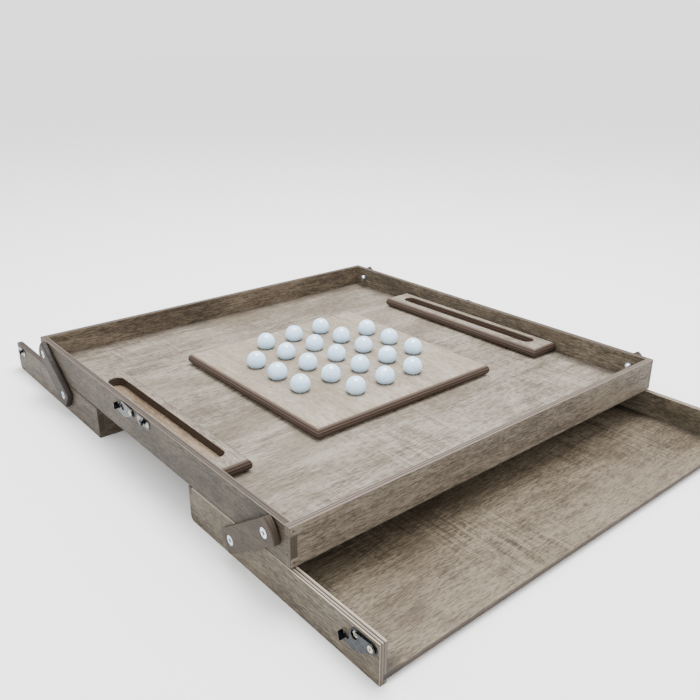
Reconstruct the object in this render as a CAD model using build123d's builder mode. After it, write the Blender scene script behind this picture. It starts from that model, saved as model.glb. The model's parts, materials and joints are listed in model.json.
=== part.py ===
from build123d import *
import math
import os

# Folding birch-plywood game case: a square box that stands on two half-size trays.
# Each tray hangs on two link bars and folds over the box as a half lid.
# Millimetres. +Z up, origin on the table under the centre of the box, +X towards the right tray.

# ---------------------------------------------------------------- driving dimensions
box_length = 500.0          # along X
box_width = 494.0           # along Y, the trays are as wide
wall_height = 35.4          # box and tray walls are cut from the same strip
wall_thickness = 6.5
floor_thickness = 5.0
box_floor_lift = 3.4        # underside of a floor above the bottom edge of its walls
tray_floor_lift = 3.0
groove_depth = 3.0          # how far a floor is let into its walls
groove_play = 0.05
end_finger = 8.0            # top and bottom finger of a corner joint
corner_ease = 1.0           # sanded vertical edges
rim_ease = 0.7              # sanded rims

tray_length = 249.5         # along X, half of the box less the gap where the lids meet
tray_outer_x = 347.5        # open end of the right tray
tray_gap = 1.0              # tray rims to the underside of the box
inner_corner_radius = 6.0   # bottom corner of a tray at its end wall
outer_corner_radius = 2.5   # bottom corner of a tray at its open end
meeting_gap = 0.3           # a closed tray's open end stops half of this from X = 0
lid_gap = 0.15              # closed tray's rim above the rim of the box

link_width = 22.5
link_thickness = 6.5
link_upper_overhang = 9.5   # corners of the bowed end beyond the upper pivot
link_bow = 2.8              # rise of the bowed end
link_lower_overhang = 11.0
link_corner_radius = 3.0
link_ease = 1.4
upper_pivot_x = 226.0
upper_pivot_depth = 13.5    # below the rim of the box
lower_pivot_depth = 47.5

running_play = 0.05         # radial play of everything that turns
bolt_radius = 2.5
bolt_head_radius = 4.6
bolt_head_height = 2.6
bolt_sunk = 0.3             # head below the face of the link bar
bolt_recess_arm = 4.6
bolt_recess_width = 1.1
bolt_recess_depth = 1.5
washer_radius = 6.0
washer_thickness = 0.75
nut_radius = 4.6            # hexagon, centre to corner
nut_hex_height = 3.0
nut_dome_radius = 3.8
nut_bore_depth = 4.6
bolt_tip_gap = 0.4

cutter_overrun = 1.0        # a through hole's cutter passes both faces by this
cutter_reach = 26.0         # long enough to cut a finger right through a wall

brad_radius = 0.9
brad_length = 12.0
brad_sunk = 0.25
side_brad_levels = (11.0, 21.4)     # above the bottom edge of the wall
end_brad_levels = (4.6, 31.8)

board_side = 246.0
board_thickness = 12.7
bullnose_radius = 6.0
marble_radius = 10.75
marble_pitch = 41.0
marbles_per_side = 5
pit_radius = 12.5
pit_depth = 3.6
marble_play = 0.02

trough_length = 260.0
trough_width = 41.0
trough_shift_x = -2.0       # the loose blocks lie a little off centre
trough_wall_gap = 0.5
slot_width = 17.5
slot_length = 220.0
slot_depth = 9.2

clasp_reach = 24.5          # pivot of a hook to the stud that it catches
plate_pitch = 16.6          # between the two fixings of a plate
plate_length = 27.0
plate_height = 9.4
plate_thickness = 0.7
plate_ease = 0.2
hook_play = 0.15            # hook above its plate
hook_thickness = 0.9
box_hook_droop = 3.0        # a parked hook lies this many degrees past straight back
tray_hook_droop = 12.5
hook_eye_radius = 4.1
hook_lobe_radius = 7.8
hook_lobe_x = 16.2          # from the pivot, along the hook
hook_lobe_drop = 1.1
hook_foot_radius = 3.4
hook_foot_x = 27.3
hook_foot_drop = 3.5
hook_window_radius = 3.3    # gives way to the screw under the parked hook
throat_radius = 2.4
throat_sweep = 25.0         # degrees that the stud travels through the throat
tab_x = 29.6                # finger tab, bent outwards
tab_drop = 0.8
tab_height = 7.0
tab_thickness = 1.1
tab_reach = 4.6
tab_corner = 1.2
rivet_radius = 1.4
rivet_head_radius = 2.7
rivet_head_height = 0.5
rivet_head_ease = 0.35
rivet_dimple_radius = 0.9
rivet_dimple_depth = 0.35
pin_depth = 4.0             # rivets and studs go this deep into the wood
stud_radius = 1.9
stud_head_radius = 2.9
stud_head_height = 2.3
stud_head_ease = 0.9
screw_radius = 1.2
screw_head_radius = 2.5
screw_length = 5.5
screw_recess_arm = 3.0
screw_recess_width = 0.7
screw_recess_depth = 0.45
box_hook_x = -6.2
box_clasp_depth = 6.0       # clasp centre line below the rim of the box
tray_hook_x = 340.0
tray_clasp_z = 27.8

# ---------------------------------------------------------------- derived places
half_length = box_length / 2
half_width = box_width / 2
inner_half_width = half_width - wall_thickness
box_bottom = wall_height + tray_gap
rim = box_bottom + wall_height
box_floor_z = box_bottom + box_floor_lift
board_top = box_floor_z + floor_thickness + board_thickness
tray_inner_x = tray_outer_x - tray_length
tray_centre_x = tray_outer_x - tray_length / 2
box_clasp_z = rim - box_clasp_depth
box_stud_x = box_hook_x + clasp_reach

# A closed tray is the open one turned half round about this centre.
fold_x = tray_outer_x / 2 + meeting_gap / 2
fold_z = (rim + lid_gap + wall_height) / 2
tray_stud_x = 4 * fold_x - clasp_reach - tray_hook_x
upper_pivot_z = rim - upper_pivot_depth
lower_pivot_z = rim - lower_pivot_depth
# The lower pivot is as far from the upper one closed as it is open.
pivot_slope = (upper_pivot_z - fold_z) / (upper_pivot_x - fold_x)
lower_pivot_x = fold_x - pivot_slope * (lower_pivot_z - fold_z)
pivot_spacing = math.hypot(upper_pivot_x - lower_pivot_x, upper_pivot_z - lower_pivot_z)

link_inner_y = half_width + washer_thickness
link_outer_y = link_inner_y + link_thickness
bolt_face_y = link_outer_y - bolt_sunk
bolt_tip_y = inner_half_width - nut_bore_depth + bolt_tip_gap
plate_outer_y = half_width + plate_thickness
hook_inner_y = plate_outer_y + hook_play
hook_outer_y = hook_inner_y + hook_thickness
stud_head_y = hook_outer_y + hook_play

SIDES = {"near": -1, "far": 1}
ENDS = {"right": 1, "left": -1}
BASE = (Align.CENTER, Align.CENTER, Align.MIN)

# x, z of the bolt rows, and of everything that is fixed to a near or far face
box_pivots = [(end * upper_pivot_x, upper_pivot_z) for end in ENDS.values()]
tray_pivots = {end: [(end * lower_pivot_x, lower_pivot_z)] for end in ENDS.values()}
box_rivets = [(box_hook_x, box_clasp_z)]
box_studs = [(box_stud_x, box_clasp_z)]
box_screws = [
    (box_hook_x - plate_pitch, box_clasp_z),
    (box_stud_x - plate_pitch / 2, box_clasp_z),
    (box_stud_x + plate_pitch / 2, box_clasp_z),
]
tray_rivets = {1: [(tray_hook_x, tray_clasp_z)], -1: []}
tray_studs = {1: [], -1: [(-tray_stud_x, tray_clasp_z)]}
tray_screws = {
    1: [(tray_hook_x - plate_pitch, tray_clasp_z)],
    -1: [
        (-tray_stud_x - plate_pitch / 2, tray_clasp_z),
        (-tray_stud_x + plate_pitch / 2, tray_clasp_z),
    ],
}

os.makedirs("parts", exist_ok=True)


def save(builder, name):
    builder.part.label = name
    export_step(builder.part, "parts/" + name + ".step")


def face_places(points, y):
    """Locations on the near and the far face at height y, local Z pointing out of the case."""
    return [
        Plane(origin=(x, side * y, z), x_dir=(1, 0, 0), z_dir=(0, side, 0))
        for side in SIDES.values()
        for x, z in points
    ]


def brad_places(corner_x, end, base):
    """Where the brads of two corners go in, local Z pointing into the wood."""
    places = []
    for side in SIDES.values():
        for level in side_brad_levels:
            x = corner_x - end * wall_thickness / 2
            places.append(Plane(origin=(x, side * half_width, base + level), z_dir=(0, -side, 0)))
        for level in end_brad_levels:
            y = side * (half_width - wall_thickness / 2)
            places.append(Plane(origin=(corner_x, y, base + level), z_dir=(-end, 0, 0)))
    return places


box_brads = brad_places(half_length, 1, box_bottom) + brad_places(-half_length, -1, box_bottom)
tray_brads = {end: brad_places(end * tray_inner_x, -end, 0) for end in ENDS.values()}


def drill(places, radius, depth):
    """Blind holes with square bottoms along local Z of each place."""
    with Locations(*places):
        Cylinder(radius, depth, align=BASE, mode=Mode.SUBTRACT)


def drill_side_wall(pivots, rivets, studs, screws):
    through_depth = wall_thickness + 2 * cutter_overrun
    drill(face_places(pivots, inner_half_width - cutter_overrun), bolt_radius + running_play, through_depth)
    if rivets:
        drill(face_places(rivets, half_width - pin_depth), rivet_radius, pin_depth)
    if studs:
        drill(face_places(studs, half_width - pin_depth), stud_radius, pin_depth)
    drill(face_places(screws, plate_outer_y - screw_length), screw_radius, screw_length)


# ---------------------------------------------------------------- box
with BuildPart() as box_ring:
    with Locations((0, 0, box_bottom)):
        Box(box_length, box_width, wall_height, align=BASE)
    fillet(box_ring.edges().filter_by(Axis.Z), corner_ease)
    fillet(box_ring.faces().sort_by(Axis.Z)[-1].edges(), rim_ease)
    fillet(box_ring.faces().sort_by(Axis.Z)[0].edges(), rim_ease)
    with Locations((0, 0, box_bottom)):
        Box(
            box_length - 2 * wall_thickness,
            2 * inner_half_width,
            wall_height,
            align=BASE,
            mode=Mode.SUBTRACT,
        )
    rim_face = box_ring.faces().filter_by(Axis.Z).sort_by(Axis.Z)[-1]
    fillet(rim_face.inner_wires().edges(), rim_ease)
    with Locations((0, 0, box_floor_z)):
        Box(
            box_length - 2 * (wall_thickness - groove_depth - groove_play),
            box_width - 2 * (wall_thickness - groove_depth - groove_play),
            floor_thickness + groove_play,
            align=BASE,
            mode=Mode.SUBTRACT,
        )
    drill(box_brads, brad_radius, brad_length)
    drill_side_wall(box_pivots, box_rivets, box_studs, box_screws)

for side_name, side in SIDES.items():
    with BuildPart() as box_side:
        add(box_ring.part)
        with Locations((0, side * (half_width - wall_thickness / 2), box_bottom)):
            Box(box_length, wall_thickness, wall_height, align=BASE, mode=Mode.INTERSECT)
        # Only the middle finger runs out to the ends.
        for corner_x in (-half_length + wall_thickness / 2, half_length - wall_thickness / 2):
            for level in (box_bottom + end_finger / 2, rim - end_finger / 2):
                with Locations((corner_x, side * half_width, level)):
                    Box(wall_thickness, cutter_reach, end_finger, mode=Mode.SUBTRACT)
    save(box_side, "box_wall_" + side_name)

for end_name, end in {"front": 1, "back": -1}.items():
    with BuildPart() as box_end:
        add(box_ring.part)
        with Locations((end * (half_length - wall_thickness / 2), 0, box_bottom)):
            Box(wall_thickness, box_width, wall_height, align=BASE, mode=Mode.INTERSECT)
        for corner_y in (-half_width + wall_thickness / 2, half_width - wall_thickness / 2):
            with Locations((end * half_length, corner_y, box_bottom + wall_height / 2)):
                Box(
                    cutter_reach,
                    wall_thickness,
                    wall_height - 2 * end_finger,
                    mode=Mode.SUBTRACT,
                )
    save(box_end, "box_wall_" + end_name)

with BuildPart() as box_floor:
    with Locations((0, 0, box_floor_z)):
        Box(
            box_length - 2 * (wall_thickness - groove_depth),
            box_width - 2 * (wall_thickness - groove_depth),
            floor_thickness,
            align=BASE,
        )
    drill(box_brads, brad_radius + running_play, brad_length + running_play)
save(box_floor, "box_floor")

# ---------------------------------------------------------------- trays
for tray_name, end in ENDS.items():
    with BuildPart() as tray_ring:
        with BuildSketch(Plane.XZ.offset(half_width)):
            with Locations((end * tray_centre_x, wall_height / 2)):
                block = Rectangle(tray_length, wall_height)
            bottom_corners = block.vertices().sort_by(Axis.Z)[0:2].sort_by(Axis.X, reverse=end < 0)
            fillet(bottom_corners[0], inner_corner_radius)
            fillet(bottom_corners[-1], outer_corner_radius)
        extrude(amount=-box_width)
        side_faces = tray_ring.faces().filter_by(Axis.Y)
        top_face = tray_ring.faces().filter_by(Axis.Z).sort_by(Axis.Z)[-1]
        fillet(side_faces.edges() + top_face.edges().filter_by(Axis.Y), rim_ease)
        with Locations((end * (tray_inner_x + wall_thickness), 0, 0)):
            Box(
                tray_length,
                2 * inner_half_width,
                wall_height,
                align=(Align.MIN if end > 0 else Align.MAX, Align.CENTER, Align.MIN),
                mode=Mode.SUBTRACT,
            )
        groove_x = tray_inner_x + wall_thickness - groove_depth - groove_play
        with Locations((end * groove_x, 0, tray_floor_lift)):
            Box(
                tray_length,
                box_width - 2 * (wall_thickness - groove_depth - groove_play),
                floor_thickness + groove_play,
                align=(Align.MIN if end > 0 else Align.MAX, Align.CENTER, Align.MIN),
                mode=Mode.SUBTRACT,
            )
        drill(tray_brads[end], brad_radius, brad_length)
        drill_side_wall(tray_pivots[end], tray_rivets[end], tray_studs[end], tray_screws[end])

    for side_name, side in SIDES.items():
        with BuildPart() as tray_side:
            add(tray_ring.part)
            with Locations((end * tray_centre_x, side * (half_width - wall_thickness / 2), 0)):
                Box(tray_length, wall_thickness, wall_height, align=BASE, mode=Mode.INTERSECT)
            for level in (end_finger / 2, wall_height - end_finger / 2):
                with Locations((end * (tray_inner_x + wall_thickness / 2), side * half_width, level)):
                    Box(wall_thickness, cutter_reach, end_finger, mode=Mode.SUBTRACT)
        save(tray_side, tray_name + "_tray_wall_" + side_name)

    with BuildPart() as tray_end:
        add(tray_ring.part)
        with Locations((end * (tray_inner_x + wall_thickness / 2), 0, 0)):
            Box(wall_thickness, box_width, wall_height, align=BASE, mode=Mode.INTERSECT)
        for corner_y in (-half_width + wall_thickness / 2, half_width - wall_thickness / 2):
            with Locations((end * tray_inner_x, corner_y, wall_height / 2)):
                Box(
                    cutter_reach,
                    wall_thickness,
                    wall_height - 2 * end_finger,
                    mode=Mode.SUBTRACT,
                )
    save(tray_end, tray_name + "_tray_end_wall")

    with BuildPart() as tray_floor:
        with Locations((end * tray_outer_x, 0, tray_floor_lift)):
            Box(
                tray_length - wall_thickness + groove_depth,
                box_width - 2 * (wall_thickness - groove_depth),
                floor_thickness,
                align=(Align.MAX if end > 0 else Align.MIN, Align.CENTER, Align.MIN),
            )
        drill(tray_brads[end], brad_radius + running_play, brad_length + running_play)
    save(tray_floor, tray_name + "_tray_floor")

# ---------------------------------------------------------------- brads
for name, places in {
    "box_brads": box_brads,
    "right_tray_brads": tray_brads[1],
    "left_tray_brads": tray_brads[-1],
}.items():
    with BuildPart() as brads:
        with Locations(*[place.offset(brad_sunk) for place in places]):
            Cylinder(brad_radius, brad_length - brad_sunk, align=BASE)
    save(brads, name)

# ---------------------------------------------------------------- link bars
for end_name, end in ENDS.items():
    for side_name, side in SIDES.items():
        bar_plane = Plane(
            origin=(end * lower_pivot_x, side * link_inner_y, lower_pivot_z),
            x_dir=(end * (upper_pivot_x - lower_pivot_x), 0, upper_pivot_z - lower_pivot_z),
            z_dir=(0, side, 0),
        )
        upper_corner = pivot_spacing + link_upper_overhang
        with BuildPart() as link:
            with BuildSketch(bar_plane):
                with BuildLine():
                    Polyline(
                        (upper_corner, link_width / 2),
                        (-link_lower_overhang, link_width / 2),
                        (-link_lower_overhang, -link_width / 2),
                        (upper_corner, -link_width / 2),
                    )
                    ThreePointArc(
                        (upper_corner, -link_width / 2),
                        (upper_corner + link_bow, 0),
                        (upper_corner, link_width / 2),
                    )
                make_face()
            extrude(amount=link_thickness)
            lower_corners = link.edges().filter_by(Axis.Y).sort_by(Axis.Z)[0:2]
            fillet(lower_corners, link_corner_radius)
            faces_by_side = link.faces().filter_by(Axis.Y).sort_by(Axis.Y)
            fillet(faces_by_side[0].edges() + faces_by_side[-1].edges(), link_ease)
            with Locations(bar_plane):
                with Locations((0, 0), (pivot_spacing, 0)):
                    Cylinder(bolt_radius + running_play, link_thickness, align=BASE, mode=Mode.SUBTRACT)
                seat_z = link_thickness - bolt_sunk
                with Locations((0, 0, seat_z), (pivot_spacing, 0, seat_z)):
                    Cylinder(bolt_head_radius + running_play, bolt_sunk, align=BASE, mode=Mode.SUBTRACT)
                    Cone(
                        bolt_radius + running_play,
                        bolt_head_radius + running_play,
                        bolt_head_height,
                        align=(Align.CENTER, Align.CENTER, Align.MAX),
                        mode=Mode.SUBTRACT,
                    )
        save(link, "link_" + end_name + "_" + side_name)

# ---------------------------------------------------------------- bolts, washers and dome nuts
for name, pivots in {
    "box": box_pivots,
    "right_tray": tray_pivots[1],
    "left_tray": tray_pivots[-1],
}.items():
    with BuildPart() as bolts:
        with Locations(*face_places(pivots, bolt_tip_y)):
            Cylinder(bolt_radius, bolt_face_y - bolt_tip_y, align=BASE)
        with Locations(*face_places(pivots, bolt_face_y - bolt_head_height)):
            Cone(bolt_radius, bolt_head_radius, bolt_head_height, align=BASE)
        with Locations(*face_places(pivots, bolt_face_y - bolt_recess_depth)):
            Box(bolt_recess_arm, bolt_recess_width, bolt_head_height, align=BASE, mode=Mode.SUBTRACT)
            Box(bolt_recess_width, bolt_recess_arm, bolt_head_height, align=BASE, mode=Mode.SUBTRACT)
    save(bolts, name + "_bolts")

    with BuildPart() as washers:
        with Locations(*face_places(pivots, half_width)):
            Cylinder(washer_radius, washer_thickness, align=BASE)
            Cylinder(
                bolt_radius + running_play,
                washer_thickness,
                align=BASE,
                mode=Mode.SUBTRACT,
            )
    save(washers, name + "_washers")

    with BuildPart() as nuts:
        with BuildSketch(*face_places(pivots, inner_half_width)):
            RegularPolygon(radius=nut_radius, side_count=6)
        extrude(amount=-nut_hex_height)
        with Locations(*face_places(pivots, inner_half_width - nut_hex_height)):
            Sphere(nut_dome_radius)
        with Locations(*face_places(pivots, inner_half_width)):
            Cylinder(
                2 * nut_radius,
                2 * nut_hex_height,
                align=BASE,
                mode=Mode.SUBTRACT,
            )
        with Locations(*face_places(pivots, inner_half_width - nut_bore_depth)):
            Cylinder(
                bolt_radius + running_play,
                nut_bore_depth,
                align=BASE,
                mode=Mode.SUBTRACT,
            )
    save(nuts, name + "_dome_nuts")

# ---------------------------------------------------------------- clasps
# Name of a plate, z of its row, x of its pin, radius of the pin, and x of its screws.
clasp_plates = [
    ("box_hook_base", box_clasp_z, box_rivets[0][0], rivet_radius, [box_screws[0][0]]),
    ("box_catch", box_clasp_z, box_stud_x, stud_radius, [x for x, z in box_screws[1:]]),
    ("right_tray_hook_base", tray_clasp_z, tray_hook_x, rivet_radius, [x for x, z in tray_screws[1]]),
    ("left_tray_catch", tray_clasp_z, -tray_stud_x, stud_radius, [x for x, z in tray_screws[-1]]),
]
for name, z, pin_x, pin_radius, screw_xs in clasp_plates:
    fixing_xs = [pin_x, *screw_xs]
    middle_x = (min(fixing_xs) + max(fixing_xs)) / 2
    for side_name, side in SIDES.items():
        with BuildPart() as plate:
            with BuildSketch(face_places([(middle_x, z)], half_width)[side > 0]):
                SlotOverall(plate_length, plate_height)
            extrude(amount=plate_thickness)
            outer_face = plate.faces().filter_by(Axis.Y).sort_by(Axis.Y)[-1 if side > 0 else 0]
            fillet(outer_face.edges(), plate_ease)
            with Locations(face_places([(pin_x, z)], half_width)[side > 0]):
                Cylinder(pin_radius, plate_thickness, align=BASE, mode=Mode.SUBTRACT)
            for screw_x in screw_xs:
                with Locations(face_places([(screw_x, z)], half_width)[side > 0]):
                    Cone(
                        screw_radius,
                        screw_head_radius,
                        plate_thickness,
                        align=BASE,
                        mode=Mode.SUBTRACT,
                    )
        save(plate, name + "_" + side_name)

clasp_groups = {
    "box": (box_rivets, box_studs, box_screws),
    "right_tray": (tray_rivets[1], tray_studs[1], tray_screws[1]),
    "left_tray": (tray_rivets[-1], tray_studs[-1], tray_screws[-1]),
}
for name, (rivets, studs, screws) in clasp_groups.items():
    with BuildPart() as plate_screws:
        with Locations(*face_places(screws, plate_outer_y - screw_length)):
            Cylinder(screw_radius, screw_length, align=BASE)
        with Locations(*face_places(screws, half_width)):
            Cone(screw_radius, screw_head_radius, plate_thickness, align=BASE)
        with Locations(*face_places(screws, plate_outer_y - screw_recess_depth)):
            Box(screw_recess_arm, screw_recess_width, plate_thickness, align=BASE, mode=Mode.SUBTRACT)
            Box(screw_recess_width, screw_recess_arm, plate_thickness, align=BASE, mode=Mode.SUBTRACT)
    save(plate_screws, name + "_clasp_screws")
    if rivets:
        head_y = hook_outer_y + running_play
        with BuildPart() as hook_rivets:
            with Locations(*face_places(rivets, half_width - pin_depth)):
                Cylinder(rivet_radius, pin_depth + head_y - half_width, align=BASE)
            with Locations(*face_places(rivets, head_y)):
                Cylinder(rivet_head_radius, rivet_head_height, align=BASE)
            head_faces = hook_rivets.faces().filter_by(Axis.Y).sort_by(Axis.Y)
            head_edges = head_faces[0].edges() + head_faces[-1].edges()
            fillet(head_edges, rivet_head_ease)
            dimple_y = head_y + rivet_head_height - rivet_dimple_depth
            drill(face_places(rivets, dimple_y), rivet_dimple_radius, rivet_head_height)
        save(hook_rivets, name + "_hook_rivets")
    if studs:
        with BuildPart() as catch_studs:
            with Locations(*face_places(studs, half_width - pin_depth)):
                Cylinder(stud_radius, pin_depth + stud_head_y - half_width, align=BASE)
            with Locations(*face_places(studs, stud_head_y)):
                Cylinder(stud_head_radius, stud_head_height, align=BASE)
            head_faces = catch_studs.faces().filter_by(Axis.Y).sort_by(Axis.Y)
            head_edges = head_faces[0].edges() + head_faces[-1].edges()
            fillet(head_edges, stud_head_ease)
        save(catch_studs, name + "_catch_studs")

# Hooks lie parked, pointing along -X and a little down, with the throat open at the top. The
# throat is cut along the arc on which the stud passes through it.
for name, (x, z), droop in [
    ("box_hook", box_rivets[0], box_hook_droop),
    ("right_tray_hook", tray_rivets[1][0], tray_hook_droop),
]:
    lean = math.radians(droop)
    for side_name, side in SIDES.items():
        hook_plane = Plane(
            origin=(x, side * hook_inner_y, z),
            x_dir=(math.cos(lean), 0, math.sin(lean)),
            z_dir=(0, -1, 0),
        )
        with BuildPart() as hook:
            with BuildSketch(hook_plane):
                Circle(hook_eye_radius)
                with Locations((-hook_lobe_x, -hook_lobe_drop)):
                    Circle(hook_lobe_radius)
                with Locations((-hook_foot_x, -hook_foot_drop)):
                    Circle(hook_foot_radius)
                make_hull()
                with Locations((-plate_pitch * math.cos(lean), plate_pitch * math.sin(lean))):
                    Circle(hook_window_radius, mode=Mode.SUBTRACT)
                Circle(rivet_radius + running_play, mode=Mode.SUBTRACT)
                with Locations((-clasp_reach, 0)):
                    Circle(throat_radius, mode=Mode.SUBTRACT)
                with BuildLine():
                    throat_top = 180 - throat_sweep
                    outer_arc = CenterArc((0, 0), clasp_reach + throat_radius, throat_top, throat_sweep)
                    inner_arc = CenterArc((0, 0), clasp_reach - throat_radius, throat_top, throat_sweep)
                    Line(outer_arc @ 0, inner_arc @ 0)
                    Line(outer_arc @ 1, inner_arc @ 1)
                make_face(mode=Mode.SUBTRACT)
            extrude(amount=-side * hook_thickness)
            with BuildSketch(hook_plane):
                with Locations((-tab_x, -tab_drop)):
                    Rectangle(tab_thickness, tab_height)
            extrude(amount=-side * tab_reach)
            tab_end = hook.faces().sort_by(Axis.Y, reverse=side > 0)[0]
            fillet(tab_end.edges().sort_by(SortBy.LENGTH)[0:2], tab_corner)
        save(hook, name + "_" + side_name)

# ---------------------------------------------------------------- loose pieces
marble_grid = [
    (column * marble_pitch, row * marble_pitch)
    for column in range(-(marbles_per_side // 2), marbles_per_side // 2 + 1)
    for row in range(-(marbles_per_side // 2), marbles_per_side // 2 + 1)
    if abs(column) + abs(row) < 2 * (marbles_per_side // 2)
]

with BuildPart() as solitaire_board:
    with Locations((0, 0, board_top)):
        Box(board_side, board_side, board_thickness, align=(Align.CENTER, Align.CENTER, Align.MAX))
    fillet(solitaire_board.edges().filter_by(Axis.Z, reverse=True), bullnose_radius)
    with Locations(*[(x, y, board_top - pit_depth + pit_radius) for x, y in marble_grid]):
        Sphere(pit_radius, mode=Mode.SUBTRACT)
save(solitaire_board, "solitaire_board")

with BuildPart() as marbles:
    marble_z = board_top - pit_depth + marble_play + marble_radius
    with Locations(*[(x, y, marble_z) for x, y in marble_grid]):
        Sphere(marble_radius)
save(marbles, "marbles")

for side_name, side in SIDES.items():
    trough_y = side * (inner_half_width - trough_wall_gap - trough_width / 2)
    with BuildPart() as trough:
        with Locations((trough_shift_x, trough_y, board_top)):
            Box(
                trough_length,
                trough_width,
                board_thickness,
                align=(Align.CENTER, Align.CENTER, Align.MAX),
            )
        fillet(trough.edges().filter_by(Axis.Z, reverse=True), bullnose_radius)
        with BuildSketch(Plane.XY.offset(board_top)):
            with Locations((trough_shift_x, trough_y)):
                SlotOverall(slot_length, slot_width)
        extrude(amount=-slot_depth, mode=Mode.SUBTRACT)
    save(trough, "trough_" + side_name)
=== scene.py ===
import json
import math

import bpy
from mathutils import Euler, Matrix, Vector


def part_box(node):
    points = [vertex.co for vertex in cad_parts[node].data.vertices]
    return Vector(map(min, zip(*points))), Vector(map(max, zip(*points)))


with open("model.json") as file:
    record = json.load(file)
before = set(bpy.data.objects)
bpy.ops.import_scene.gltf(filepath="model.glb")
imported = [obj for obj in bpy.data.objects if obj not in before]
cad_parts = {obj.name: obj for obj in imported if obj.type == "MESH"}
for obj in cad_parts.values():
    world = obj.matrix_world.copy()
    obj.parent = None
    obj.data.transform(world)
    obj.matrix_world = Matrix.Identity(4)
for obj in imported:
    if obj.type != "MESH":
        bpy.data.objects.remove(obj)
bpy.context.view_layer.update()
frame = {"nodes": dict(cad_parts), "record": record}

MM = 0.001
X, Y, Z = 0, 1, 2
WHITE = (1.0, 1.0, 1.0)


# ---------------------------------------------------------------- node helper
class Tree:
    """A material's node tree, written as nested calls. Sockets and plain numbers can be mixed."""

    def __init__(self, name):
        self.material = bpy.data.materials.new(name)
        self.material.use_nodes = True
        self.nodes = self.material.node_tree.nodes
        self.links = self.material.node_tree.links
        self.shader = self.nodes["Principled BSDF"]
        coordinates = self.nodes.new("ShaderNodeTexCoord")
        self.place = coordinates.outputs["Object"]
        self.normal = coordinates.outputs["Normal"]

    def feed(self, socket, value):
        if isinstance(value, bpy.types.NodeSocket):
            self.links.new(value, socket)
        elif isinstance(value, tuple) and len(value) == 3 and socket.type == "RGBA":
            socket.default_value = (*value, 1.0)
        else:
            socket.default_value = value

    def math(self, operation, a, b=0.0):
        node = self.nodes.new("ShaderNodeMath")
        node.operation = operation
        self.feed(node.inputs[0], a)
        self.feed(node.inputs[1], b)
        return node.outputs[0]

    def add(self, first, *others):
        total = first
        for other in others:
            total = self.math("ADD", total, other)
        return total

    def subtract(self, a, b):
        return self.math("SUBTRACT", a, b)

    def times(self, a, b):
        return self.math("MULTIPLY", a, b)

    def absolute(self, a):
        return self.math("ABSOLUTE", a)

    def swing(self, noise, size):
        """Noise of 0 to 1, moved and scaled so that it varies by size about zero."""
        return self.times(self.subtract(noise, 0.5), size)

    def ease(self, value, low, high, to_low=0.0, to_high=1.0):
        """Smooth step that goes from to_low to to_high as value goes from low to high."""
        node = self.nodes.new("ShaderNodeMapRange")
        node.interpolation_type = "SMOOTHSTEP"
        for socket, number in zip(node.inputs, (value, low, high, to_low, to_high)):
            self.feed(socket, number)
        return node.outputs[0]

    def mix(self, share, a, b, blend="MIX"):
        node = self.nodes.new("ShaderNodeMix")
        node.data_type = "RGBA"
        node.blend_type = blend
        factor, colour_a, colour_b = node.inputs[0], node.inputs[6], node.inputs[7]
        self.feed(factor, share)
        self.feed(colour_a, a)
        self.feed(colour_b, b)
        colour = node.outputs[2]
        return colour

    def multiply(self, a, b):
        """Two colours multiplied."""
        return self.mix(1.0, a, b, "MULTIPLY")

    def split(self, vector):
        node = self.nodes.new("ShaderNodeSeparateXYZ")
        self.feed(node.inputs[0], vector)
        return node.outputs

    def join(self, x, y, z):
        node = self.nodes.new("ShaderNodeCombineXYZ")
        for socket, value in zip(node.inputs, (x, y, z)):
            self.feed(socket, value)
        return node.outputs[0]

    def noise(self, vector, scale=1.0, detail=3.0, roughness=0.55, distortion=0.0):
        node = self.nodes.new("ShaderNodeTexNoise")
        self.feed(node.inputs["Vector"], vector)
        self.feed(node.inputs["Scale"], scale)
        self.feed(node.inputs["Detail"], detail)
        self.feed(node.inputs["Roughness"], roughness)
        self.feed(node.inputs["Distortion"], distortion)
        return node.outputs["Fac"]

    def ramp(self, share, stops):
        node = self.nodes.new("ShaderNodeValToRGB")
        self.feed(node.inputs[0], share)
        elements = node.color_ramp.elements
        while len(elements) < len(stops):
            elements.new(0.5)
        for element, (position, colour) in zip(elements, stops):
            element.position = position
            element.color = (*colour, 1.0)
        return node.outputs[0]

    def bump(self, height, strength, distance):
        node = self.nodes.new("ShaderNodeBump")
        self.feed(node.inputs["Height"], height)
        self.feed(node.inputs["Strength"], strength)
        self.feed(node.inputs["Distance"], distance)
        return node.outputs[0]

    def set(self, **values):
        """Sets inputs of the Principled shader, named with _ for a space."""
        for name, value in values.items():
            self.feed(self.shader.inputs[name.replace("_", " ")], value)


def srgb(red, green, blue):
    """Linear colour of an 8-bit screen colour."""
    def linear(value):
        value = value / 255
        return value / 12.92 if value <= 0.04045 else ((value + 0.055) / 1.055) ** 2.4
    return tuple(linear(value) for value in (red, green, blue))


def dress(node, material):
    """Gives a CAD node its material."""
    mesh = frame["nodes"][node].data
    mesh.materials.clear()
    mesh.materials.append(material)


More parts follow.
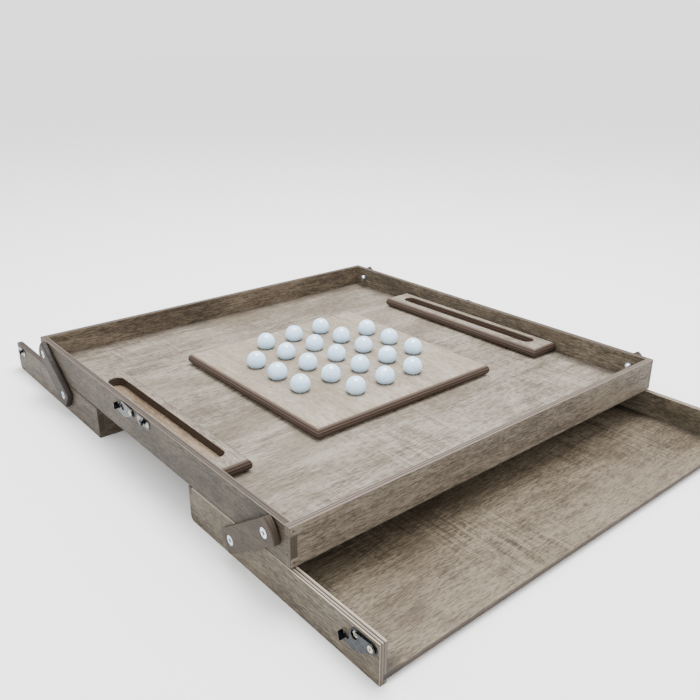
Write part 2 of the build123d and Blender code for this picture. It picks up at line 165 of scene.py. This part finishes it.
# ---------------------------------------------------------------- stained birch plywood
# Four tones of one veneer: pores and late wood, the common tone, washed-out fibres, and stain.
FLOOR_BIRCH = {
    "dark": srgb(79, 68, 57),
    "middle": srgb(123, 114, 102),
    "pale": srgb(153, 145, 135),
    "stain": srgb(92, 80, 63),
}
TRAY_BIRCH = {
    "dark": srgb(63, 53, 42),
    "middle": srgb(105, 96, 83),
    "pale": srgb(135, 127, 115),
    "stain": srgb(74, 61, 45),
}
WALL_BIRCH = {
    "dark": srgb(54, 47, 37),
    "middle": srgb(88, 80, 68),
    "pale": srgb(115, 107, 94),
    "stain": srgb(68, 57, 43),
}
BACK_BIRCH = {
    "dark": srgb(45, 37, 29),
    "middle": srgb(77, 66, 53),
    "pale": srgb(104, 92, 78),
    "stain": srgb(57, 45, 33),
}
BOARD_BIRCH = {
    "dark": srgb(112, 101, 84),
    "middle": srgb(139, 128, 114),
    "pale": srgb(158, 150, 137),
    "stain": srgb(120, 104, 83),
}
SLOT_BIRCH = {
    "dark": srgb(88, 71, 53),
    "middle": srgb(129, 111, 89),
    "pale": srgb(155, 138, 117),
    "stain": srgb(96, 74, 53),
}
LINK_BIRCH = {
    "dark": srgb(50, 42, 34),
    "middle": srgb(68, 60, 50),
    "pale": srgb(83, 74, 64),
    "stain": srgb(57, 47, 38),
}
# Plies seen edge on: the two ply directions, the glue between them, and the rubbed outer ply.
TRAY_RIM_PLIES = (srgb(176, 164, 152), srgb(44, 38, 34), srgb(22, 19, 17), srgb(196, 184, 172))
RIM_PLIES = (srgb(117, 106, 96), srgb(58, 49, 43), srgb(34, 28, 25), srgb(158, 143, 133))
DARK_PLIES = (srgb(75, 64, 54), srgb(44, 35, 29), srgb(28, 22, 19), srgb(101, 86, 73))
BLOCK_PLIES = (srgb(94, 78, 65), srgb(52, 39, 32), srgb(30, 24, 20), srgb(129, 109, 91))

PLY_COUNT = {"panel": 3, "wall": 5, "block": 9}
SEED_STEP = 7.31            # noise cells between one piece's grain and the next one's
CONTOUR_ANGLE = 110.0       # radians from the lowest to the highest hill: about 17 contour lines
SMEAR_LENGTH = 26 * MM      # of one smear on an edge, along the plies
SMEAR_WIDTH = 1.2 * MM      # and across them
STAIN_AND_SHADE_REACH = 22 * MM       # of the stain and painted shade that gather along a wall
FAR_AWAY = 1.0              # metres from a wall: past all stain and painted shade


def face_grain(tree, grain, thick, birch, seed, figure, saw):
    """Colour and height of a face veneer: fibres, pores, saw marks, contour lines and stain.
    grain and thick are the axes along the fibres and through the plies."""
    cross = X + Y + Z - grain - thick
    axes = tree.split(tree.place)
    deep = tree.add(axes[thick], seed * SEED_STEP)

    def marks(length, width, shift, **settings):
        """Noise with marks of length by width millimetres, along and across the fibres."""
        where = tree.join(
            tree.times(axes[grain], 1 / (length * MM)),
            tree.times(axes[cross], 1 / (width * MM)),
            tree.add(deep, shift),
        )
        return tree.noise(where, **settings)

    fibre = marks(14, 0.9, shift=0, detail=4, roughness=0.7, distortion=0.2)
    fleck = marks(6, 1.2, shift=2, detail=3, roughness=0.6, distortion=0.3)
    streak = marks(120, 9, shift=3, detail=5, roughness=0.65, distortion=0.5)
    chatter = marks(3.5, 70, shift=5, detail=4, roughness=0.7, distortion=0.4)
    cloud = marks(130, 80, shift=9, detail=4, roughness=0.6, distortion=0.8)
    hill = marks(150, 42, shift=13, detail=2, roughness=0.4, distortion=1.4)
    pores = marks(5, 0.8, shift=17, detail=2, roughness=0.5)
    brown = marks(190, 75, shift=21, detail=4, roughness=0.6, distortion=0.7)
    sawn = marks(120, 160, shift=25, detail=2)
    grey = marks(60, 34, shift=31, detail=4, roughness=0.65, distortion=0.9)

    contour = tree.ease(tree.math("SINE", tree.times(hill, CONTOUR_ANGLE)), 0.80, 1.0)
    # saw marks show only where a second, slow noise lets them through
    saw_marks = tree.times(tree.swing(chatter, saw), tree.ease(sawn, 0.42, 0.66))
    tone = tree.add(
        tree.swing(fibre, 1.90),
        tree.swing(fleck, 1.60),
        tree.swing(streak, 1.05),
        saw_marks,
        tree.swing(cloud, 1.20),
        tree.times(contour, 0.10 * figure),
        0.5,
    )
    colour = tree.ramp(tone, [(0.10, birch["dark"]), (0.47, birch["middle"]), (0.86, birch["pale"])])
    colour = tree.mix(tree.ease(brown, 0.48, 0.70, to_high=0.55), colour, birch["stain"])
    colour = tree.mix(tree.ease(grey, 0.54, 0.74, to_high=0.55), colour, birch["dark"])
    colour = tree.mix(tree.ease(pores, 0.60, 0.74, to_high=0.70), colour, birch["dark"])
    height = tree.add(tree.times(fibre, 0.7), tree.times(fleck, 0.3))
    return colour, height


def edge_plies(tree, depth, grain, thick, plies, birch, edges, worn, soak):
    """Colour of a plywood edge: the stack of plies, smeared, rubbed at the arrises and dark on end grain.
    depth goes from 0 to 1 through the plies."""
    light_ply, dark_ply, glue_line, rubbed = edges
    axes = tree.split(tree.place)
    normal = tree.split(tree.normal)
    ply = 1.0 / plies

    wobble = tree.noise(tree.place, scale=60.0, detail=3)
    stack = tree.add(tree.times(depth, plies), tree.swing(wobble, 0.45))
    dark_share = tree.ease(tree.math("PINGPONG", stack, 1.0), 0.40, 0.62)
    from_glue = tree.absolute(tree.subtract(tree.math("FRACT", stack), 0.5))
    glue = tree.ease(from_glue, 0.34, 0.5, to_high=0.6)
    sizes = [SMEAR_WIDTH if axis == thick else SMEAR_LENGTH for axis in (X, Y, Z)]
    smear_place = tree.join(*(tree.times(axes[axis], 1 / sizes[axis]) for axis in (X, Y, Z)))
    smear = tree.noise(smear_place, detail=4, roughness=0.65)
    speckle = tree.noise(tree.place, scale=800.0, detail=3, roughness=0.7)

    edge = tree.mix(dark_share, light_ply, dark_ply)
    edge = tree.mix(glue, edge, glue_line)
    edge = tree.mix(tree.ease(smear, 0.45, 0.75, to_high=0.40), edge, dark_ply)
    edge = tree.mix(tree.ease(speckle, 0.40, 0.80, to_high=0.40), edge, dark_ply)

    from_middle = tree.absolute(tree.subtract(depth, 0.5))
    rub = tree.times(tree.ease(from_middle, 0.5 - 0.8 * ply, 0.5 - 0.5 * ply), worn)
    rub = tree.times(rub, tree.ease(smear, 0.25, 0.60, to_low=0.55))
    if thick != Z:
        # a wall is rubbed on its rim only
        rub = tree.times(rub, tree.ease(normal[Z], 0.15, 0.60))
    edge = tree.mix(rub, edge, rubbed)

    # end grain soaks up the stain: it is dark, and its plies hardly show
    end_grain = tree.ease(tree.absolute(normal[grain]), 0.60, 0.90, to_high=soak)
    soaked = tree.mix(tree.ease(speckle, 0.30, 0.75, 0.25, 0.85), birch["middle"], birch["dark"])
    return tree.mix(end_grain, edge, soaked)


def plywood(node, grain, thick, form, birch, seed, edges=RIM_PLIES, worn=0.6, figure=1.0, saw=0.5,
            tint=WHITE, soak=0.8, shade=None, inner=None):
    """Material of one plywood piece: veneer on its faces, the stack of plies on its edges.
    worn, figure, saw and soak are how strongly rubbed arrises, contour lines, saw marks and dark end
    grain show. shade gives the share of stain and painted shade at a place, and inner is the birch that a
    slot shows."""
    tree = Tree("ply_" + node)
    low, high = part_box(node)
    plies = PLY_COUNT[form]
    axes = tree.split(tree.place)
    normal = tree.split(tree.normal)
    depth = tree.math("DIVIDE", tree.subtract(axes[thick], low[thick]), high[thick] - low[thick])

    colour, height = face_grain(tree, grain, thick, birch, seed, figure, saw)
    if inner is not None:
        from_middle = tree.absolute(tree.subtract(depth, 0.5))
        buried = tree.ease(from_middle, 0.5 - 0.5 / plies, 0.5 - 1.0 / plies)
        inner_colour, _ = face_grain(tree, grain, thick, inner, seed + 3, figure=0.5, saw=0.0)
        colour = tree.mix(buried, colour, inner_colour)
    edge = edge_plies(tree, depth, grain, thick, plies, birch, edges, worn, soak)
    facing = tree.ease(tree.absolute(normal[thick]), 0.80, 0.96)
    colour = tree.mix(facing, edge, colour)
    if shade is not None:
        # stain and painted shade along the walls: the colour darkened by the stain colour
        colour = tree.mix(shade(tree, axes), colour, tree.multiply(colour, birch["stain"]))

    tree.set(
        Base_Color=tree.multiply(colour, tint),
        Roughness=tree.ease(height, 0.2, 0.8, 0.74, 0.54),
        Specular_IOR_Level=0.35,
        Normal=tree.bump(height, strength=0.30, distance=0.25 * MM),
    )
    dress(node, tree.material)


def wall_stain_and_shade(lows, highs):
    """Stain and painted shade that darken a floor along its walls. lows and highs are the walls' inner
    faces in X and
    Y, with None on an open side."""
    def shade(tree, axes):
        nearest = FAR_AWAY
        for axis in (X, Y):
            if lows[axis] is not None:
                nearest = tree.math("MINIMUM", nearest, tree.subtract(axes[axis], lows[axis]))
            if highs[axis] is not None:
                nearest = tree.math("MINIMUM", nearest, tree.subtract(highs[axis], axes[axis]))
        ragged = tree.noise(tree.join(axes[X], axes[Y], 0.0), scale=24.0, detail=4)
        nearest = tree.add(nearest, tree.swing(ragged, -STAIN_AND_SHADE_REACH))
        # share of stain and painted shade: most at a wall, none past the reach
        return tree.ease(nearest, STAIN_AND_SHADE_REACH, 0.0, to_high=0.75)
    return shade


def dress_box(inner_x, inner_y):
    plywood(
        "box_floor", grain=Y, thick=Z, form="panel", birch=FLOOR_BIRCH, seed=1, saw=1.6,
        tint=(0.83, 0.82, 0.79), shade=wall_stain_and_shade((-inner_x, -inner_y), (inner_x, inner_y)),
    )
    plywood(
        "box_wall_near", grain=X, thick=Y, form="wall", birch=WALL_BIRCH, seed=10,
        edges=RIM_PLIES, worn=1.0, tint=(0.44, 0.41, 0.36),
    )
    plywood(
        "box_wall_far", grain=X, thick=Y, form="wall", birch=WALL_BIRCH, seed=11,
        edges=DARK_PLIES, worn=0.25, tint=(1.12, 1.08, 1.04),
    )
    plywood(
        "box_wall_front", grain=Y, thick=X, form="wall", birch=WALL_BIRCH, seed=50,
        edges=RIM_PLIES, worn=0.35, tint=(0.94, 0.90, 0.87),
    )
    plywood(
        "box_wall_back", grain=Y, thick=X, form="wall", birch=BACK_BIRCH, seed=51,
        edges=DARK_PLIES, worn=0.25, tint=(1.22, 1.22, 1.20),
    )


def dress_loose_blocks():
    plywood(
        "solitaire_board", grain=X, thick=Z, form="block", birch=BOARD_BIRCH, seed=2,
        edges=BLOCK_PLIES, worn=0.5, figure=1.6, saw=0.1, tint=(0.95, 0.94, 0.93), soak=0.0,
    )
    for seed, side in ((20, "near"), (21, "far")):
        plywood(
            "trough_" + side, grain=X, thick=Z, form="block", birch=FLOOR_BIRCH, seed=seed,
            edges=BLOCK_PLIES, worn=0.5, saw=0.1, tint=(0.80, 0.78, 0.76), soak=0.0, inner=SLOT_BIRCH,
        )


def dress_trays(inner_y):
    for end, way in (("right", 1), ("left", -1)):
        end_low, end_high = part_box(end + "_tray_end_wall")
        if way > 0:
            stain_and_shade_lows, stain_and_shade_highs = (end_high[X], -inner_y), (None, inner_y)
        else:
            stain_and_shade_lows, stain_and_shade_highs = (None, -inner_y), (end_low[X], inner_y)
        plywood(
            end + "_tray_end_wall", grain=Y, thick=X, form="wall", birch=WALL_BIRCH, seed=60 + way,
            tint=(0.60, 0.57, 0.54),
        )
        plywood(
            end + "_tray_floor", grain=Y, thick=Z, form="panel", birch=TRAY_BIRCH, seed=64 + way, saw=2.0,
            edges=DARK_PLIES, tint=(0.72, 0.67, 0.59), shade=wall_stain_and_shade(stain_and_shade_lows, stain_and_shade_highs),
        )
    for order, side in enumerate(("near", "far")):
        plywood(
            "right_tray_wall_" + side, grain=X, thick=Y, form="wall", birch=WALL_BIRCH,
            seed=40 + 2 * order, edges=TRAY_RIM_PLIES, worn=0.8, tint=(0.80, 0.77, 0.70),
        )
        plywood(
            "left_tray_wall_" + side, grain=X, thick=Y, form="wall", birch=WALL_BIRCH,
            seed=41 + 2 * order, edges=DARK_PLIES, worn=0.8, tint=(0.56, 0.53, 0.49),
        )


def dress_links():
    tints = {"right": (0.58, 0.48, 0.36), "left": (0.32, 0.28, 0.25)}
    seed = 30
    for side in ("near", "far"):
        for end in ("right", "left"):
            plywood(
                "link_" + end + "_" + side, grain=X, thick=Y, form="wall", birch=LINK_BIRCH, seed=seed,
                edges=DARK_PLIES, worn=0.1, figure=0.3, saw=0.0, tint=tints[end],
            )
            seed += 1


# ---------------------------------------------------------------- metal and glass
PAINTED_RECESS_SHADE = srgb(34, 44, 60)
RECESS_SHADE_STARTS = 0.15 * MM    # below a bolt's or screw's face
RECESS_SHADE_IS_FULL = 0.45 * MM


def metal(name, colour, dark, roughness, metallic=1.0, scale=900.0, wear=0.35, face_y=None):
    """Plated or blackened steel with a little mottling and handling wear. face_y is how far from Y = 0
    the heads' faces are, on both sides of the object: the recesses behind them are painted dark as shade."""
    tree = Tree(name)
    mottle = tree.noise(tree.place, scale=scale, detail=4, roughness=0.6)
    smear = tree.noise(tree.place, scale=scale * 0.22, detail=3)
    surface = tree.mix(tree.ease(mottle, 0.35, 0.75, to_high=wear), colour, dark)
    if face_y is not None:
        # painted shade: dark blue-grey in the recesses behind the heads' faces
        across = tree.absolute(tree.split(tree.place)[Y])
        recess_shade_share = tree.ease(across, face_y - RECESS_SHADE_STARTS, face_y - RECESS_SHADE_IS_FULL, to_high=0.9)
        surface = tree.mix(recess_shade_share, surface, PAINTED_RECESS_SHADE)
    tree.set(
        Base_Color=surface,
        Metallic=metallic,
        Roughness=tree.ease(smear, 0.3, 0.7, roughness * 0.7, roughness * 1.4),
        Normal=tree.bump(mottle, strength=0.12, distance=0.05 * MM),
    )
    return tree.material


def white_glass():
    """Opal glass: milky bluish body, wet-looking skin, a painted reflection of the wood's brown on its
    underside, and a painted bluish glow that is strongest on top.
    """
    tree = Tree("white_glass")
    up = tree.split(tree.normal)[Z]
    cloud = tree.noise(tree.place, scale=60.0, detail=3, distortion=1.5)
    milk = tree.ramp(cloud, [(0.35, srgb(170, 202, 228)), (0.7, srgb(200, 226, 244))])
    # painted reflection: the marble's underside takes the wood's brown
    painted_wood_reflection = srgb(96, 84, 70)
    tree.set(
        Base_Color=tree.mix(tree.ease(up, -0.30, -0.85, to_high=0.75), milk, painted_wood_reflection),
        Roughness=tree.ease(cloud, 0.2, 0.8, 0.03, 0.07),
        Coat_Weight=1.0,
        Coat_Roughness=0.02,
        # painted glow: the body glows bluish, most on top and none on the underside
        Emission_Color=(0.50, 0.78, 1.0),
        Emission_Strength=tree.ease(up, -0.35, 0.1, to_high=0.45),
    )
    return tree.material


def zinc(node, face_y):
    return metal("zinc_" + node, srgb(206, 216, 224), srgb(110, 122, 136), roughness=0.30, face_y=face_y)


def bright_steel(node, face_y):
    return metal("steel_" + node, srgb(176, 168, 150), srgb(88, 80, 68), roughness=0.26, face_y=face_y)


def dress_hardware():
    shared = {
        "chrome_nut": metal(
            "chrome_nut", srgb(214, 220, 230), srgb(120, 128, 140), roughness=0.16, scale=500.0,
        ),
        "dark_steel": metal(
            "dark_steel", srgb(52, 55, 58), srgb(13, 13, 14), roughness=0.22, scale=420.0, wear=0.9,
        ),
        "dark_brad": metal("dark_brad", srgb(56, 46, 38), srgb(24, 20, 18), roughness=0.60, metallic=0.5),
        "white_glass": white_glass(),
    }
    own = {"zinc": zinc, "bright_steel": bright_steel}
    for part in frame["record"]["subparts"]:
        node = part["node"]
        slot = part["material_slot"]
        if slot in shared:
            dress(node, shared[slot])
        elif slot in own:
            dress(node, own[slot](node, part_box(node)[1][Y]))


# ---------------------------------------------------------------- floor, light and camera
FLOOR_SIZE = 40.0           # metres


def pale_floor():
    bpy.ops.mesh.primitive_plane_add(size=FLOOR_SIZE)
    ground = bpy.context.object
    ground.name = "studio_floor"
    tree = Tree("studio_floor")
    tree.set(Base_Color=(0.95, 0.95, 0.95), Roughness=0.9, Specular_IOR_Level=0.1)
    ground.data.materials.append(tree.material)


def soft_light(name, location, size, power):
    """Square area light that points at the origin. size is in metres, power in watts."""
    lamp = bpy.data.lights.new(name, "AREA")
    lamp.shape = "SQUARE"
    lamp.size = size
    lamp.energy = power
    holder = bpy.data.objects.new(name, lamp)
    holder.location = location
    holder.rotation_mode = "QUATERNION"
    holder.rotation_quaternion = (-Vector(location)).to_track_quat("-Z", "Y")
    bpy.context.scene.collection.objects.link(holder)


def studio():
    world = bpy.data.worlds.new("studio")
    world.use_nodes = True
    background = world.node_tree.nodes["Background"]
    background.inputs["Color"].default_value = (*WHITE, 1.0)
    background.inputs["Strength"].default_value = 2.0
    bpy.context.scene.world = world
    soft_light("overhead", location=(-0.1, 0.2, 1.8), size=0.9, power=60.0)
    soft_light("fill", location=(0.3, -2.2, 1.1), size=1.6, power=3.0)


CAMERA_AZIMUTH = 49.82      # degrees from looking along +Y, turned towards -X
CAMERA_PITCH = 21.89        # degrees down
CAMERA_ROLL = 0.21          # degrees
CAMERA_LENS = 39.34         # mm
CAMERA_SENSOR = 36.0        # mm
CAMERA_FROM_RIM = Vector((1.25714, -1.02139, 0.64490))     # in box lengths, from the centre of the rim


def camera():
    low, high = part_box("box_wall_far")
    box_length = high[X] - low[X]
    rim_centre = Vector((0.0, 0.0, high[Z]))
    view = bpy.data.cameras.new("camera")
    view.lens = CAMERA_LENS
    view.sensor_width = CAMERA_SENSOR
    view.clip_start = 0.01
    holder = bpy.data.objects.new("camera", view)
    holder.location = rim_centre + CAMERA_FROM_RIM * box_length
    turn = Euler((math.radians(90 - CAMERA_PITCH), 0.0, math.radians(CAMERA_AZIMUTH)))
    roll = Euler((0.0, 0.0, math.radians(CAMERA_ROLL)))
    holder.rotation_euler = (turn.to_matrix() @ roll.to_matrix()).to_euler()
    bpy.context.scene.collection.objects.link(holder)
    bpy.context.scene.camera = holder


inner_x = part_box("box_wall_front")[0][X]
inner_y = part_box("box_wall_far")[0][Y]
dress_box(inner_x, inner_y)
dress_loose_blocks()
dress_trays(inner_y)
dress_links()
dress_hardware()
pale_floor()
studio()
camera()
